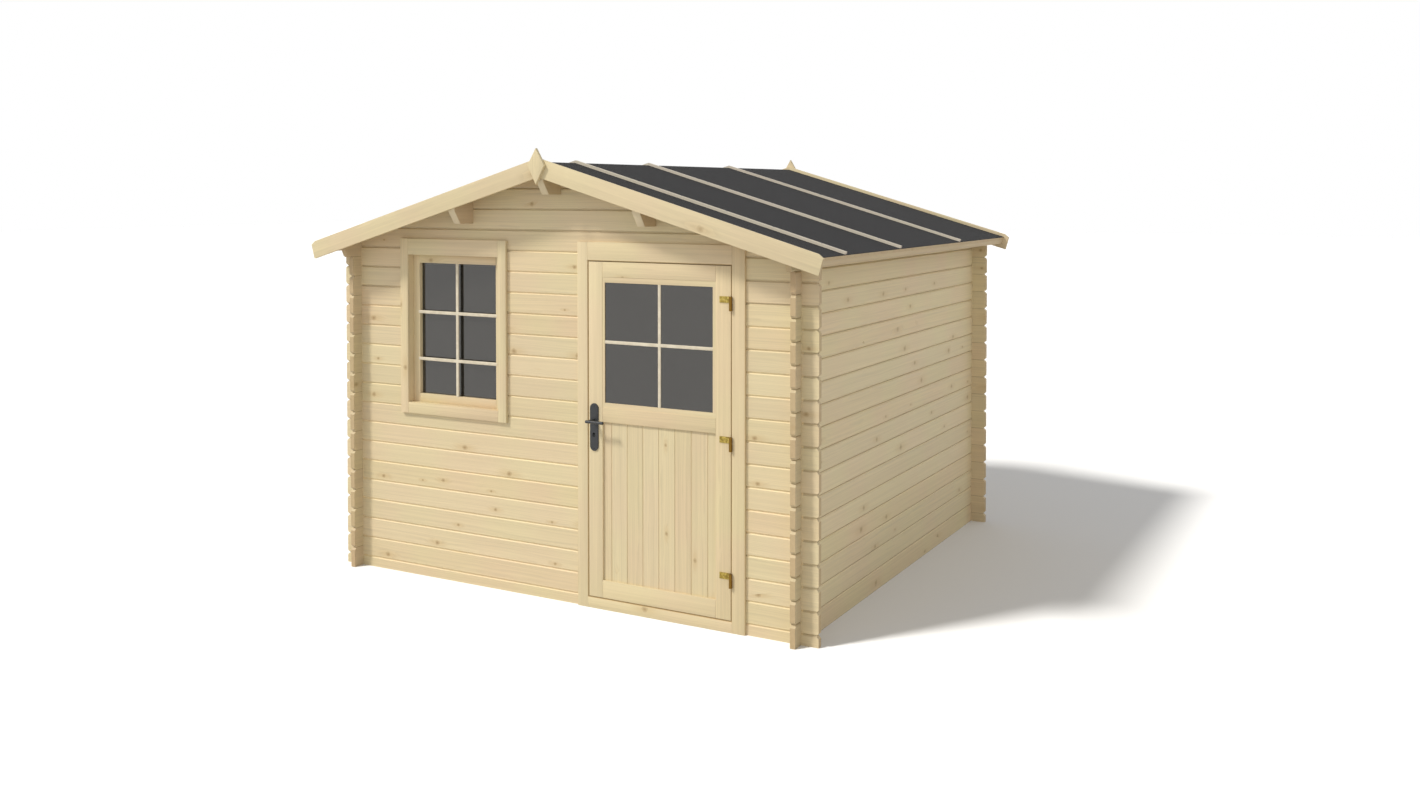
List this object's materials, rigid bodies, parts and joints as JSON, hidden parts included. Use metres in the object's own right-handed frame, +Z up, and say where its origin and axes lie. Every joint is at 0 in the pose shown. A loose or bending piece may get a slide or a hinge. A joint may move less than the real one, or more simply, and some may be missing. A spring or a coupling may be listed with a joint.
{
  "type": "garden shed",
  "caption": "Garden shed of interlocking wall boards under a low felted gable roof, with a hinged half-glazed door, a lever handle and a fixed barred window.",
  "frame": {"origin": "on the ground, under the middle of the roof", "axes": "+X along the front wall to the door side, +Y from the front to the back, +Z up"},
  "size_m": [3.2534, 3.134, 2.4318],
  "materials": {
    "wall_boards": "planed bare spruce",
    "trim_timber": "planed bare spruce",
    "door_timber": "planed bare spruce",
    "roof_timber": "planed bare spruce",
    "roof_felt": "matt bitumen felt",
    "glass": "clear",
    "hinge_brass": "satin",
    "handle_black": "satin black"
  },
  "bodies": {
    "shed": {"back_bargeboard_left": "trim_timber", "back_bargeboard_right": "trim_timber", "back_finial": "trim_timber", "back_wall": "wall_boards", "door_head": "door_timber", "door_left_jamb": "door_timber", "door_right_jamb": "door_timber", "door_threshold": "door_timber", "eaves_batten_left": "roof_timber", "eaves_batten_right": "roof_timber", "front_bargeboard_left": "trim_timber", "front_bargeboard_right": "trim_timber", "front_finial": "trim_timber", "front_gable": "wall_boards", "front_wall_below_window": "wall_boards", "front_wall_left_of_window": "wall_boards", "front_wall_right_of_door": "wall_boards", "front_wall_right_of_window": "wall_boards", "hinge_pins": "hinge_brass", "left_purlin": "roof_timber", "left_wall": "wall_boards", "ridge_purlin": "roof_timber", "right_purlin": "roof_timber", "right_wall": "wall_boards", "roof_battens_left": "roof_timber", "roof_battens_right": "roof_timber", "roof_boards_left": "roof_timber", "roof_boards_right": "roof_timber", "roof_felt_left": "roof_felt", "roof_felt_right": "roof_felt", "top_side_logs": "wall_boards", "window_glass": "glass", "window_head": "trim_timber", "window_sash_rails": "trim_timber", "window_sash_stiles": "trim_timber", "window_side_casings": "trim_timber", "window_sill": "trim_timber"},
    "door": {"door_lock_stile": "door_timber", "door_hinge_stile": "door_timber", "door_rails": "door_timber", "door_panel": "door_timber", "door_glass": "glass", "hinge_leaves": "hinge_brass", "handle_plates": "handle_black"},
    "handle": {"lever_handle": "handle_black"}
  },
  "joints": [
    {"name": "door_swing", "type": "hinge", "parent": "shed", "child": "door", "pos_m": [1.059, -1.3923, 0.948], "axis": [0, 0, 1], "range_deg": [0, 155]},
    {"name": "handle_turn", "type": "hinge", "parent": "door", "child": "handle", "pos_m": [0.2425, -1.389, 0.999], "axis": [0, 1, 0], "range_deg": [0, 40], "stiffness_Nm_per_rad": 1.2, "springref_deg": -34.38}
  ]
}
